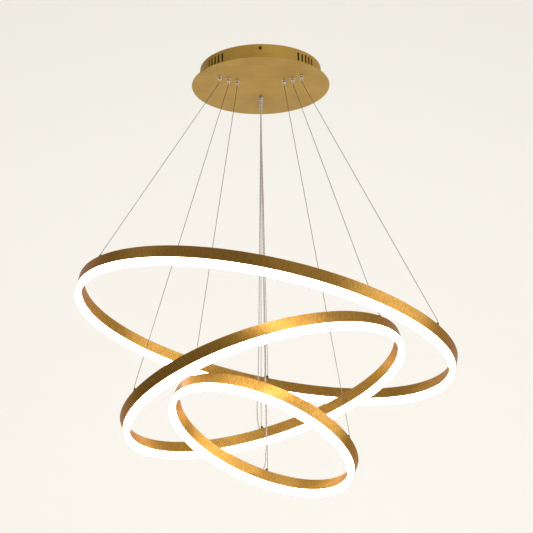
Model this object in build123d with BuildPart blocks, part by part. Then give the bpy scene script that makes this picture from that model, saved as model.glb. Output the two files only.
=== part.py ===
from build123d import *
import os
from math import asin, cos, degrees, radians, sin, sqrt, tan

# A hanging lamp of three tilted light rings under a round ceiling canopy.
# Millimetres. The origin is the middle of the ceiling face, +Z is up, and -Y is the front.

os.makedirs("parts", exist_ok=True)

# Fits
running_clearance = 0.06
hole_clearance = 0.1
seat_gap = 0.1

# Small repeated pieces are prisms: this many sides where they show, and inside
shown_sides = 12
inner_sides = 6

# Canopy drum and lower plate
drum_radius = 132.5
drum_height = 37.0
drum_wall = 1.2
drum_foot_length = 16.0
drum_foot_width = 14.0
drum_foot_count = 3
drum_foot_first_angle = 60.0
plate_radius = 150.5
plate_thickness = 2.0
plate_stud_radius = 2.0
plate_stud_height = 6.0
plate_nut_radius = 4.0
plate_nut_height = 3.2

# Vents in the drum wall
vent_width = 4.8
vent_height = 19.5
vent_top_depth = 7.5
vents_per_group = 5
vent_pitch_angle = 4.65
vent_group_angle = 47.0

# Ceiling bracket
bracket_thickness = 1.5
bracket_edge_gap = 1.5
bracket_tab_length = 16.0
bracket_tab_width = 40.0
bracket_rim_sides = 4
ceiling_hole_rim_gap = 54.8
ceiling_hole_radius = 2.75
ceiling_hole_count = 4
cable_hole_x = -40.0
cable_hole_y = 25.0
cable_hole_radius = 10.0

# Side screws that hold the drum on the bracket
side_screw_count = 3
side_screw_depth = 9.3
side_screw_radius = 2.0
side_screw_head_radius = 3.4
side_screw_head_height = 2.2
side_screw_reach = 2.0

# Driver
driver_width = 60.0
driver_length = 96.0
driver_height = 22.0
driver_rim_gap = 11.8
driver_ear_length = 10.0
driver_ear_width = 20.0
driver_ear_thickness = 2.0
case_screw_radius = 1.9
case_screw_head_radius = 3.5
case_screw_head_height = 2.2

# Terminal block, its supply lead and the earth screw
block_width = 24.0
block_depth = 20.0
block_height = 14.0
block_rim_gap = 57.8
block_y = -25.0
block_poles = 3
block_pole_pitch = 7.0
block_entry_radius = 1.8
block_entry_depth = 5.0
lead_diameter = 3.2
lead_depth = 10.0
earth_screw_rim_gap = 67.8
earth_screw_y = 25.0

# Places of the wires: one at the rear, two beside the front
front_wire_angle = 58.0
gripper_circle_1 = 104.0
gripper_circle_2 = 82.0
gripper_circle_3 = 60.0
gland_inset = 11.0

# Cable grippers
gripper_flange_radius = 5.0
gripper_flange_thickness = 1.5
gripper_barrel_radius = 4.0
gripper_barrel_length = 5.0
gripper_lip = 1.0
gripper_chamber_height = 4.5
gripper_stud_radius = 3.0
gripper_stud_height = 14.0
gripper_nut_flats = 9.0
gripper_nut_height = 3.5
nose_radius = 2.2
nose_collar_radius = 2.9
nose_collar_height = 1.5
nose_out = 4.5

# Cord glands
gland_flange_radius = 4.0
gland_flange_thickness = 1.5
gland_neck_radius = 2.9
gland_neck_height = 6.0
gland_nose_radius = 2.6
gland_nose_length = 3.0

# Suspension wires
wire_diameter = 1.2
wire_sides = 6
wire_bore_clearance = 0.2
wire_tail = 7.0
wire_exit_drop = 2.5
wire_bend_radius = 6.0

# Power cords
cord_diameter = 2.4
cord_sides = 6
cord_depth = 14.0
cord_exit_drop = 8.0
cord_exit_radius = 12.0
cord_spread = 18.0

# Ring section
ring_width = 12.0
channel_height = 23.4
channel_wall = 1.0
channel_web = 1.6
diffuser_drop = 13.6
diffuser_insert = 7.0
strip_width = 6.0
strip_thickness = 1.2
strip_boards = 36

# Wire terminals and cord inlets on the rings
terminal_stud_radius = 1.5
terminal_head_radius = 2.8
terminal_head_height = 7.0
terminal_wire_rise = 2.5
inlet_flange_radius = 2.6
inlet_flange_height = 1.5
inlet_neck_radius = 1.9
inlet_offset = 6.5

# Each ring: outer diameter, drop from the ceiling to its top face, sideways drift,
# and rise towards the right and towards the rear in degrees
ring_1_diameter = 800.0
ring_1_drop = 578.7
ring_1_drift = 5.8
ring_1_side_tilt = -12.7
ring_1_rear_tilt = -3.25
ring_2_diameter = 600.0
ring_2_drop = 699.5
ring_2_drift = -5.9
ring_2_side_tilt = 16.6
ring_2_rear_tilt = -8.0
ring_3_diameter = 400.0
ring_3_drop = 800.0
ring_3_drift = 0.9
ring_3_side_tilt = -22.5
ring_3_rear_tilt = -15.9

# Cord points between the canopy and each ring's inlet, chosen along the hanging cords
cord_1_bow = []
cord_2_bow = [(-12.6, 252.0, -614.0), (-17.8, 278.5, -694.0)]
cord_3_bow = [(-2.5, 150.0, -662.0), (-1.0, 176.0, -787.0), (1.0, 187.5, -812.0)]
cord_1_rise = 14.0
cord_2_rise = 14.0
cord_3_rise = 16.0

# Worked-out places
plate_top = -drum_height
plate_bottom = plate_top - plate_thickness
drum_bore_radius = drum_radius - drum_wall
bracket_radius = drum_bore_radius - bracket_edge_gap
tab_face = sqrt(bracket_radius**2 - (bracket_tab_width / 2) ** 2)
ceiling_hole_circle = 2 * (bracket_radius - ceiling_hole_rim_gap)
driver_y = -(bracket_radius - driver_rim_gap - driver_ear_length - driver_length / 2)
block_x = -(bracket_radius - block_rim_gap)
earth_screw_x = bracket_radius - earth_screw_rim_gap
wire_radius = wire_diameter / 2
cord_radius = cord_diameter / 2
cord_bore_radius = cord_radius + 2 * hole_clearance
nose_tip = -(gripper_flange_thickness + gripper_barrel_length + nose_out)
wire_exit_height = plate_bottom + nose_tip - wire_exit_drop
cord_exit_height = plate_bottom - gland_flange_thickness - gland_nose_length - cord_exit_drop
driver_rear = driver_y + driver_length / 2
driver_screw_reach = driver_length / 2 + driver_ear_length / 2

wire_angles = {"left": 270.0 - front_wire_angle, "right": 270.0 + front_wire_angle, "rear": 90.0}
gripper_circles = {1: gripper_circle_1, 2: gripper_circle_2, 3: gripper_circle_3}
cord_lanes = {1: -cord_spread, 2: cord_spread, 3: 0.0}
ring_radii = {1: ring_1_diameter / 2, 2: ring_2_diameter / 2, 3: ring_3_diameter / 2}


def save(part, name):
    """Label a finished piece and write it as its own file."""
    part.label = name
    export_step(part, f"parts/{name}.step")


def on_circle(radius, angle, height=0.0):
    """A point at this radius, angle and height about the lamp's axis."""
    return Vector(radius * cos(radians(angle)), radius * sin(radians(angle)), height)


def radial_plane(angle, distance, height):
    """A plane facing outwards from the lamp's axis."""
    outward = on_circle(1.0, angle)
    return Plane(origin=on_circle(distance, angle, height), x_dir=(0, 0, 1), z_dir=outward)


def on_ring(plane, radius, angle):
    """The place on a ring, in its own plane, that is at this angle seen from above."""
    outward = on_circle(1.0, angle)
    rise = -(outward.X * plane.z_dir.X + outward.Y * plane.z_dir.Y) / plane.z_dir.Z
    local = plane.to_local_coords(plane.origin + Vector(outward.X, outward.Y, rise)).normalized()
    return (radius * local.X, radius * local.Y)


def ring_plane(drop, drift, side_tilt, rear_tilt):
    """The plane of a ring's top face."""
    side = tan(radians(side_tilt))
    rear = tan(radians(rear_tilt))
    return Plane(origin=(drift, 0, -drop), x_dir=(1, 0, side), z_dir=(-side, -rear, 1))


ring_planes = {
    1: ring_plane(ring_1_drop, ring_1_drift, ring_1_side_tilt, ring_1_rear_tilt),
    2: ring_plane(ring_2_drop, ring_2_drift, ring_2_side_tilt, ring_2_rear_tilt),
    3: ring_plane(ring_3_drop, ring_3_drift, ring_3_side_tilt, ring_3_rear_tilt),
}

gripper_places = {
    (ring, side): on_circle(gripper_circles[ring], angle, plate_bottom)
    for ring in ring_planes
    for side, angle in wire_angles.items()
}
gland_places = {
    ring: on_circle(gripper_circles[ring] - gland_inset, wire_angles["rear"], plate_bottom)
    for ring in ring_planes
}
driver_screw_places = [(0, driver_y - driver_screw_reach), (0, driver_y + driver_screw_reach)]
side_screw_angles = [270.0 + turn * 360.0 / side_screw_count for turn in range(side_screw_count)]

# ---------------------------------------------------------------- ceiling bracket
# A plate that nearly fills the drum: three of its sides are folded down into tabs
half_tab = degrees(asin(bracket_tab_width / 2 / bracket_radius))
rim_side = (360.0 / side_screw_count - 2 * half_tab) / bracket_rim_sides
bracket_corners = [
    on_circle(bracket_radius, angle + half_tab + side * rim_side)
    for angle in side_screw_angles
    for side in range(bracket_rim_sides + 1)
]

with BuildPart() as ceiling_bracket:
    with BuildSketch(Plane.XY.offset(-bracket_thickness)):
        with BuildLine():
            Polyline(*[(corner.X, corner.Y) for corner in bracket_corners], close=True)
        make_face()
        with PolarLocations(ceiling_hole_circle / 2, ceiling_hole_count, start_angle=45):
            Circle(ceiling_hole_radius, mode=Mode.SUBTRACT)
        with Locations((cable_hole_x, cable_hole_y)):
            Circle(cable_hole_radius, mode=Mode.SUBTRACT)
        with Locations(*driver_screw_places, (block_x, block_y), (earth_screw_x, earth_screw_y)):
            RegularPolygon(case_screw_radius + hole_clearance, inner_sides, mode=Mode.SUBTRACT)
    extrude(amount=bracket_thickness)
    with BuildSketch(Plane.XY.offset(-bracket_tab_length)):
        with PolarLocations(tab_face - bracket_thickness / 2, side_screw_count, start_angle=270):
            Rectangle(bracket_thickness, bracket_tab_width)
    extrude(amount=bracket_tab_length)
    for angle in side_screw_angles:
        with BuildSketch(radial_plane(angle, tab_face, -side_screw_depth)):
            RegularPolygon(side_screw_radius + hole_clearance, inner_sides)
        extrude(amount=-bracket_thickness, mode=Mode.SUBTRACT)
save(ceiling_bracket.part, "ceiling_bracket")

# ---------------------------------------------------------------- canopy drum
foot_middle = drum_bore_radius + drum_wall / 2 - drum_foot_length / 2
plate_stud_circle = drum_bore_radius - drum_foot_length / 2

with BuildPart() as canopy_drum:
    with BuildSketch(Plane.XY.offset(plate_top)):
        Circle(drum_radius)
        Circle(drum_bore_radius, mode=Mode.SUBTRACT)
    extrude(amount=drum_height)
    # Inward feet that stand on the plate and take its studs
    with BuildSketch(Plane.XY.offset(plate_top)):
        with PolarLocations(foot_middle, drum_foot_count, start_angle=drum_foot_first_angle):
            Rectangle(drum_foot_length, drum_foot_width)
        with PolarLocations(plate_stud_circle, drum_foot_count, start_angle=drum_foot_first_angle):
            RegularPolygon(plate_stud_radius + hole_clearance, inner_sides, mode=Mode.SUBTRACT)
    extrude(amount=drum_wall)
    # Four groups of upright vents
    with BuildSketch(Plane.XY.offset(-vent_top_depth)):
        for middle in (270 - vent_group_angle, 270 + vent_group_angle, 90 - vent_group_angle, 90 + vent_group_angle):
            half_group = vent_pitch_angle * (vents_per_group - 1) / 2
            with PolarLocations(
                drum_radius,
                vents_per_group,
                start_angle=middle - half_group,
                angular_range=2 * half_group,
                endpoint=True,
            ):
                Rectangle(6 * drum_wall, vent_width)
    extrude(amount=-vent_height, mode=Mode.SUBTRACT)
    for angle in side_screw_angles:
        with BuildSketch(radial_plane(angle, drum_radius + drum_wall, -side_screw_depth)):
            RegularPolygon(side_screw_radius + hole_clearance, inner_sides)
        extrude(amount=-3 * drum_wall, mode=Mode.SUBTRACT)
save(canopy_drum.part, "canopy_drum")

# ---------------------------------------------------------------- canopy plate
with BuildPart() as canopy_plate:
    with BuildSketch(Plane.XY.offset(plate_bottom)):
        Circle(plate_radius)
        with Locations(*[(place.X, place.Y) for place in gripper_places.values()]):
            RegularPolygon(gripper_stud_radius + hole_clearance, inner_sides, mode=Mode.SUBTRACT)
        with Locations(*[(place.X, place.Y) for place in gland_places.values()]):
            RegularPolygon(gland_neck_radius + hole_clearance, inner_sides, mode=Mode.SUBTRACT)
    extrude(amount=plate_thickness)
    # Weld studs for the drum's feet
    with BuildSketch(Plane.XY.offset(plate_top)):
        with PolarLocations(plate_stud_circle, drum_foot_count, start_angle=drum_foot_first_angle):
            RegularPolygon(plate_stud_radius, inner_sides)
    extrude(amount=plate_stud_height)
save(canopy_plate.part, "canopy_plate")

# Nuts on the weld studs
with BuildPart() as plate_nuts:
    with BuildSketch(Plane.XY.offset(plate_top + drum_wall)):
        with PolarLocations(plate_stud_circle, drum_foot_count, start_angle=drum_foot_first_angle):
            RegularPolygon(plate_nut_radius, 6)
            RegularPolygon(plate_stud_radius, inner_sides, mode=Mode.SUBTRACT)
    extrude(amount=plate_nut_height)
save(plate_nuts.part, "plate_nuts")

# Side screws: through the drum wall into the bracket's tabs
with BuildPart() as canopy_side_screws:
    for angle in side_screw_angles:
        with BuildSketch(radial_plane(angle, drum_radius, -side_screw_depth)):
            RegularPolygon(side_screw_head_radius, shown_sides)
        extrude(amount=side_screw_head_height)
        with BuildSketch(radial_plane(angle, drum_radius, -side_screw_depth)):
            RegularPolygon(side_screw_radius, inner_sides)
        extrude(amount=-(drum_radius - tab_face + bracket_thickness + side_screw_reach))
save(canopy_side_screws.part, "canopy_side_screws")

# ---------------------------------------------------------------- driver and wiring
driver_top = -bracket_thickness

with BuildPart() as led_driver:
    with BuildSketch(Plane.XY.offset(driver_top)):
        with Locations((0, driver_y)):
            Rectangle(driver_width, driver_length)
    extrude(amount=-driver_height)
    with BuildSketch(Plane.XY.offset(driver_top)):
        with Locations((0, driver_y)):
            Rectangle(driver_ear_width, driver_length + 2 * driver_ear_length)
    extrude(amount=-driver_ear_thickness)
    with BuildSketch(Plane.XY.offset(driver_top)):
        with Locations(*driver_screw_places):
            RegularPolygon(case_screw_radius + hole_clearance, inner_sides)
    extrude(amount=-driver_ear_thickness, mode=Mode.SUBTRACT)
save(led_driver.part, "led_driver")


def case_screws(places, seat):
    """Screws from below, head against the seat, shank up through the bracket."""
    with BuildPart() as screws:
        with BuildSketch(Plane.XY.offset(seat)):
            with Locations(*places):
                RegularPolygon(case_screw_head_radius, inner_sides)
        extrude(amount=-case_screw_head_height)
        with BuildSketch(Plane.XY.offset(seat)):
            with Locations(*places):
                RegularPolygon(case_screw_radius, inner_sides)
        extrude(amount=-seat)
    return screws.part


save(case_screws(driver_screw_places, driver_top - driver_ear_thickness), "driver_screws")
save(case_screws([(earth_screw_x, earth_screw_y)], -bracket_thickness), "earth_screw")

block_seat = -bracket_thickness - block_height
block_rear = block_y + block_depth / 2

with BuildPart() as terminal_block:
    with BuildSketch(Plane.XY.offset(-bracket_thickness)):
        with Locations((block_x, block_y)):
            Rectangle(block_width, block_depth)
    extrude(amount=-block_height)
    # The middle fixing hole
    with BuildSketch(Plane.XY.offset(-bracket_thickness)):
        with Locations((block_x, block_y)):
            RegularPolygon(case_screw_radius + hole_clearance, inner_sides)
    extrude(amount=-block_height, mode=Mode.SUBTRACT)
    # Wire entries for the house cable
    with BuildSketch(Plane.XZ.offset(-block_rear)):
        with Locations((block_x, -lead_depth)):
            with GridLocations(block_pole_pitch, 1, block_poles, 1):
                RegularPolygon(block_entry_radius, inner_sides)
    extrude(amount=block_entry_depth, mode=Mode.SUBTRACT)
save(terminal_block.part, "terminal_block")
save(case_screws([(block_x, block_y)], block_seat), "terminal_screw")


def corner_radii(points, tight):
    """A bend radius for each corner: as large as its runs allow, or the stated one."""
    radii = []
    for index in range(1, len(points) - 1):
        before = points[index] - points[index - 1]
        after = points[index + 1] - points[index]
        half_turn = radians(before.get_angle(after) / 2)
        free = 0.45 * min(before.length, after.length) / tan(half_turn)
        radii.append(tight.get(index, free))
    return radii


def round_tube(name, points, radii, diameter, sides):
    """A tube along straight runs and tangent arcs. Prints its radii and compares its volume."""
    with BuildPart() as tube:
        with BuildLine() as route:
            FilletPolyline(*points, radius=radii)
        with BuildSketch(Plane(route.wire() @ 0, z_dir=route.wire() % 0)) as section:
            RegularPolygon(diameter / 2, sides)
        sweep()
    length = route.wire().length
    share = tube.part.volume / (section.sketch.area * length)
    print(name, "length", round(length, 1), "radii", [round(r, 1) for r in radii], "volume share", round(share, 4))
    save(tube.part, name)


# Straight lead from the terminal block to the driver's side
block_side = block_x + block_width / 2
lead_length = -driver_width / 2 - block_side
with BuildPart() as supply_lead:
    with BuildSketch(Plane(origin=(block_side, block_y, -lead_depth), z_dir=(1, 0, 0))):
        RegularPolygon(lead_diameter / 2, cord_sides)
    extrude(amount=lead_length)
print("supply_lead length", lead_length)
save(supply_lead.part, "supply_lead")

# ---------------------------------------------------------------- cable grippers
lip_top = -(gripper_flange_thickness + gripper_barrel_length - gripper_lip)
barrel_end = -(gripper_flange_thickness + gripper_barrel_length)
wire_bore_radius = wire_radius + wire_bore_clearance

# Stud, flange and barrel in one piece, with the nose's chamber inside
with BuildPart() as gripper_body:
    with BuildSketch():
        RegularPolygon(gripper_stud_radius, inner_sides)
    extrude(amount=gripper_stud_height)
    with BuildSketch():
        RegularPolygon(gripper_flange_radius, shown_sides)
    extrude(amount=-gripper_flange_thickness)
    with BuildSketch(Plane.XY.offset(-gripper_flange_thickness)):
        RegularPolygon(gripper_barrel_radius, shown_sides)
    extrude(amount=-gripper_barrel_length)
    with BuildSketch(Plane.XY.offset(barrel_end)):
        RegularPolygon(nose_radius + running_clearance, shown_sides)
    extrude(amount=gripper_lip, mode=Mode.SUBTRACT)
    with BuildSketch(Plane.XY.offset(lip_top)):
        RegularPolygon(nose_collar_radius + running_clearance, inner_sides)
    extrude(amount=gripper_chamber_height, mode=Mode.SUBTRACT)
    with BuildSketch(Plane.XY.offset(lip_top)):
        RegularPolygon(wire_bore_radius, inner_sides)
    extrude(amount=gripper_stud_height - lip_top, mode=Mode.SUBTRACT)

with BuildPart() as gripper_bodies:
    with Locations(*gripper_places.values()):
        add(gripper_body.part)
save(gripper_bodies.part, "gripper_bodies")

with BuildPart() as gripper_nuts:
    with BuildSketch(Plane.XY.offset(plate_top)):
        with Locations(*[(place.X, place.Y) for place in gripper_places.values()]):
            RegularPolygon(gripper_nut_flats / 2, 6, major_radius=False)
            RegularPolygon(gripper_stud_radius, inner_sides, mode=Mode.SUBTRACT)
    extrude(amount=gripper_nut_height)
save(gripper_nuts.part, "gripper_nuts")

# Push-in release nose with the collar that the lip holds
with BuildPart() as gripper_nose:
    with BuildSketch(Plane.XY.offset(nose_tip)):
        RegularPolygon(nose_radius, shown_sides)
    extrude(amount=lip_top + seat_gap - nose_tip)
    with BuildSketch(Plane.XY.offset(lip_top + seat_gap)):
        RegularPolygon(nose_collar_radius, inner_sides)
    extrude(amount=nose_collar_height)
    with BuildSketch(Plane.XY.offset(nose_tip)):
        RegularPolygon(wire_bore_radius, inner_sides)
    extrude(amount=-nose_tip, mode=Mode.SUBTRACT)

for (ring, side), place in gripper_places.items():
    with BuildPart() as placed_nose:
        with Locations(place):
            add(gripper_nose.part)
    save(placed_nose.part, f"gripper_nose_{ring}_{side}")

# ---------------------------------------------------------------- cord glands
with BuildPart() as cord_gland:
    with BuildSketch():
        RegularPolygon(gland_neck_radius, inner_sides)
    extrude(amount=gland_neck_height)
    with BuildSketch():
        RegularPolygon(gland_flange_radius, shown_sides)
    extrude(amount=-gland_flange_thickness)
    with BuildSketch(Plane.XY.offset(-gland_flange_thickness)):
        RegularPolygon(gland_nose_radius, shown_sides)
    extrude(amount=-gland_nose_length)
    with BuildSketch(Plane.XY.offset(gland_neck_height)):
        RegularPolygon(cord_bore_radius, inner_sides)
    extrude(amount=-gland_neck_height - gland_flange_thickness - gland_nose_length, mode=Mode.SUBTRACT)

with BuildPart() as cord_glands:
    with Locations(*gland_places.values()):
        add(cord_gland.part)
save(cord_glands.part, "cord_glands")

# ---------------------------------------------------------------- rings
strip_top = -channel_web

for ring, plane in ring_planes.items():
    outer_radius = ring_radii[ring]
    inner_radius = outer_radius - ring_width
    middle_radius = (outer_radius + inner_radius) / 2
    ring_axis = Axis(plane.origin, plane.z_dir)
    section_plane = Plane(origin=plane.origin, x_dir=plane.x_dir, z_dir=-plane.y_dir)
    terminal_points = {
        side: on_ring(plane, middle_radius, angle) for side, angle in wire_angles.items()
    }
    inlet_angle = wire_angles["rear"] + degrees(asin(inlet_offset / middle_radius))
    inlet_point = on_ring(plane, middle_radius, inlet_angle)

    # Bent aluminium channel, open downwards
    with BuildPart() as channel:
        with BuildSketch(section_plane):
            with Locations((middle_radius, -channel_height / 2)):
                Rectangle(ring_width, channel_height)
            with Locations((middle_radius, -(channel_web + channel_height) / 2)):
                Rectangle(ring_width - 2 * channel_wall, channel_height - channel_web, mode=Mode.SUBTRACT)
        revolve(axis=ring_axis)
        with BuildSketch(plane):
            with Locations(*terminal_points.values()):
                RegularPolygon(terminal_stud_radius + hole_clearance, inner_sides)
            with Locations(inlet_point):
                RegularPolygon(inlet_neck_radius + hole_clearance, inner_sides)
        extrude(amount=-channel_web, mode=Mode.SUBTRACT)
    save(channel.part, f"ring_{ring}_channel")

    # Opal diffuser bar, its upper part held between the channel's walls
    diffuser_height = diffuser_drop + diffuser_insert
    with BuildPart() as diffuser:
        with BuildSketch(section_plane):
            with Locations((middle_radius, diffuser_insert - channel_height - diffuser_height / 2)):
                Rectangle(ring_width - 2 * channel_wall - 2 * hole_clearance, diffuser_height)
        revolve(axis=ring_axis)
    save(diffuser.part, f"ring_{ring}_diffuser")

    # Lamp strip: short straight boards end to end under the web
    with BuildPart() as led_strip:
        with BuildSketch(plane.offset(strip_top)):
            RegularPolygon(middle_radius + strip_width / 2, strip_boards)
            RegularPolygon(middle_radius - strip_width / 2, strip_boards, mode=Mode.SUBTRACT)
        extrude(amount=-strip_thickness)
    save(led_strip.part, f"ring_{ring}_led_strip")

    # Three wire terminals, each a headed stud through the web
    with BuildPart() as wire_ends:
        with BuildSketch(plane):
            with Locations(*terminal_points.values()):
                RegularPolygon(terminal_head_radius, shown_sides)
        extrude(amount=terminal_head_height)
        with BuildSketch(plane):
            with Locations(*terminal_points.values()):
                RegularPolygon(terminal_stud_radius, inner_sides)
        extrude(amount=-channel_web)
    save(wire_ends.part, f"ring_{ring}_wire_ends")

    # Bush where the power cord goes in
    with BuildPart() as cord_inlet:
        with BuildSketch(plane):
            with Locations(inlet_point):
                RegularPolygon(inlet_flange_radius, shown_sides)
                RegularPolygon(cord_bore_radius, inner_sides, mode=Mode.SUBTRACT)
        extrude(amount=inlet_flange_height)
        with BuildSketch(plane):
            with Locations(inlet_point):
                RegularPolygon(inlet_neck_radius, inner_sides)
                RegularPolygon(cord_bore_radius, inner_sides, mode=Mode.SUBTRACT)
        extrude(amount=-channel_web)
    save(cord_inlet.part, f"ring_{ring}_cord_inlet")

    # Suspension wires: through the gripper, round the nose's edge, then taut to the terminal
    for side, point in terminal_points.items():
        place = gripper_places[ring, side]
        wire_turn = terminal_head_height + terminal_wire_rise
        wire_points = [
            Vector(place.X, place.Y, plate_bottom + gripper_stud_height + wire_tail),
            Vector(place.X, place.Y, wire_exit_height),
            plane.from_local_coords(Vector(*point, wire_turn)),
            plane.from_local_coords(Vector(*point, terminal_head_height)),
        ]
        round_tube(
            f"wire_{ring}_{side}", wire_points, [wire_bend_radius] * 2, wire_diameter, wire_sides
        )

    # Power cord: driver, canopy, gland, long hang, then into the ring's inlet
    gland = gland_places[ring]
    lane = cord_lanes[ring]
    bow = {1: cord_1_bow, 2: cord_2_bow, 3: cord_3_bow}[ring]
    rise = {1: cord_1_rise, 2: cord_2_rise, 3: cord_3_rise}[ring]
    cord_points = [
        Vector(lane, driver_rear, -cord_depth),
        Vector(lane, driver_rear + abs(lane) * 1.8, -cord_depth),
        Vector(gland.X, gland.Y, -cord_depth),
        Vector(gland.X, gland.Y, cord_exit_height),
        *[Vector(*point) for point in bow],
        plane.from_local_coords(Vector(*inlet_point, rise)),
        plane.from_local_coords(Vector(*inlet_point, strip_top)),
    ]
    if lane == 0:
        cord_points.pop(1)
    exit_corner = len(cord_points) - len(bow) - 3
    cord_radii = corner_radii(cord_points, {exit_corner: cord_exit_radius})
    round_tube(f"cord_{ring}", cord_points, cord_radii, cord_diameter, cord_sides)
    print([tuple(round(value, 1) for value in point) for point in cord_points])
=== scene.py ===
import math
import bpy
import bmesh
from mathutils import Matrix, Vector


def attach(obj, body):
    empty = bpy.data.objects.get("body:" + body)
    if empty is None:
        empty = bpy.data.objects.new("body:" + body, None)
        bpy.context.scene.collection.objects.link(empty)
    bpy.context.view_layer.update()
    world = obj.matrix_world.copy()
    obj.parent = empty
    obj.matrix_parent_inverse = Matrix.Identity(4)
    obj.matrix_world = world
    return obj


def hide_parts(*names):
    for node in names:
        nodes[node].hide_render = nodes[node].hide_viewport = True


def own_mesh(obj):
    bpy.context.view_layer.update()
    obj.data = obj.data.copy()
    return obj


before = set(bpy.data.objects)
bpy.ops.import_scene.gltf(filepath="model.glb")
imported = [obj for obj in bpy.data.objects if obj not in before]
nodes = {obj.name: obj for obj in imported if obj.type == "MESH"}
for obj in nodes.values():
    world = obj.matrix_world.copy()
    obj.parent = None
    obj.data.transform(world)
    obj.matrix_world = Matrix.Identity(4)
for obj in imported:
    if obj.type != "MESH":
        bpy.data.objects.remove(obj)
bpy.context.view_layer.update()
scene = bpy.context.scene

# ---- Studio: a cream wall that bends down into the floor behind the lamp, a pale screen round the other sides,
# seven soft panels, and the camera a little below the lowest ring, looking up.
scene.view_settings.view_transform = "Standard"


def linear(hex_colour):
    """An sRGB hex colour as linear RGBA."""
    parts = [int(hex_colour[at : at + 2], 16) / 255 for at in (1, 3, 5)]
    return [c / 12.92 if c <= 0.04045 else ((c + 0.055) / 1.055) ** 2.4 for c in parts] + [1.0]


def add(tree, kind, inputs=None, **settings):
    """Adds a node with its settings. An input given as another node's socket is linked to it."""
    made = tree.nodes.new(kind)
    for name, value in settings.items():
        setattr(made, name, value)
    for name, value in (inputs or {}).items():
        if isinstance(value, bpy.types.NodeSocket):
            tree.links.new(value, made.inputs[name])
        else:
            made.inputs[name].default_value = value
    return made


def empty_finish(name):
    """A new material and its empty tree."""
    material = bpy.data.materials.new(name)
    material.use_nodes = True
    material.node_tree.nodes.clear()
    return material, material.node_tree


# Matt cream wall paint: a slow, faint change of tone such as a real wall has
wall_paint, tree = empty_finish("matt_cream_wall_paint")
tone = add(tree, "ShaderNodeTexNoise", {"Scale": 0.8, "Detail": 2.0})
cream = add(
    tree,
    "ShaderNodeMix",
    {0: tone.outputs["Fac"], 6: linear("#ECE9E2"), 7: linear("#F2F0EA")},
    data_type="RGBA",
)
coat = add(tree, "ShaderNodeBsdfPrincipled", {"Base Color": cream.outputs[2], "Roughness": 0.95})
add(tree, "ShaderNodeOutputMaterial", {"Surface": coat.outputs[0]})

floor_z, wall_top_z, wall_side_x = -3.0, 6.0, 9.0
bend_start_y, bend_radius, bend_steps = 3.4, 1.2, 12
wall_line = [(-wall_side_x, floor_z), (bend_start_y, floor_z)]
for step in range(1, bend_steps + 1):
    bend = math.radians(90 * step / bend_steps)
    wall_line.append((bend_start_y + bend_radius * math.sin(bend), floor_z + bend_radius * (1 - math.cos(bend))))
wall_line.append((bend_start_y + bend_radius, wall_top_z))
# The rest of the room, seen only from behind and from the sides: an even pale screen that lights nothing
screen_paint, tree = empty_finish("pale_screen")
glow = add(tree, "ShaderNodeEmission", {"Color": linear("#F1EDE4"), "Strength": 1.0})
add(tree, "ShaderNodeOutputMaterial", {"Surface": glow.outputs[0]})
screen_radius, screen_line = 6.5, []
for degrees in range(-225, 46, 6):
    turn = math.radians(degrees)
    screen_line.append((screen_radius * math.cos(turn), screen_radius * math.sin(turn)))
wall_edges = [[(x, y, z) for y, z in wall_line] for x in (-wall_side_x, wall_side_x)]
screen_edges = [[(x, y, z) for x, y in screen_line] for z in (floor_z, wall_top_z)]
for name, edges, paint, gives_light in (
    ("studio_backdrop", wall_edges, wall_paint, True),
    ("studio_screen", screen_edges, screen_paint, False),
):
    count = len(edges[0])
    sheet = bpy.data.meshes.new(name)
    sheet.from_pydata(
        edges[0] + edges[1],
        [],
        [(count + i, count + i + 1, i + 1, i) for i in range(count - 1)],
    )
    sheet.polygons.foreach_set("use_smooth", [True] * (count - 1))
    sheet.materials.append(paint)
    backdrop = bpy.data.objects.new(name, sheet)
    scene.collection.objects.link(backdrop)
    backdrop.visible_glossy = backdrop.visible_diffuse = gives_light

world = bpy.data.worlds.new("studio_air")
world.use_nodes = True
world.node_tree.nodes.clear()
air = add(world.node_tree, "ShaderNodeBackground", {"Color": linear("#F4F0E8"), "Strength": 0.18})
add(world.node_tree, "ShaderNodeOutputWorld", {"Surface": air.outputs[0]})
scene.world = world

# Name, place, aim, size in metres, power in watts, and whether the metal mirrors the panel. The first four draw
# the bright and dark stretches on the rings; the last three only light the canopy, the wall and the floor.
for name, place, aim, size, power, mirrored in (
    ("right_panel", (3.0, -0.8, -0.1), (0.1, 0.0, -0.6), (3.0, 2.2), 31, True),
    ("front_right_panel", (1.1, -1.9, 1.15), (0.0, 0.0, -0.6), (1.7, 1.2), 9, True),
    ("front_left_panel", (-0.8, -1.2, 1.7), (0.0, 0.0, -0.6), (1.7, 1.2), 8, True),
    ("left_panel", (-2.9, -0.6, 0.9), (0.0, 0.0, -0.5), (1.6, 1.2), 2, True),
    ("canopy_fill", (0.0, -2.4, -0.2), (0.0, 0.0, 0.0), (2.4, 0.8), 21, False),
    ("wall_panel", (0.0, 3.0, 1.4), (0.0, 4.6, 1.4), (15.0, 8.0), 274, False),
    ("floor_panel", (0.0, 0.0, -1.8), (0.0, -0.001, -3.0), (13.0, 13.0), 201, False),
):
    lamp = bpy.data.lights.new(name, "AREA")
    lamp.shape = "RECTANGLE"
    lamp.size, lamp.size_y = size
    lamp.energy = power
    panel = bpy.data.objects.new(name, lamp)
    panel.location = place
    panel.visible_camera = False
    panel.visible_glossy = mirrored
    panel.rotation_euler = (Vector(aim) - Vector(place)).to_track_quat("-Z", "Y").to_euler()
    scene.collection.objects.link(panel)

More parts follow.
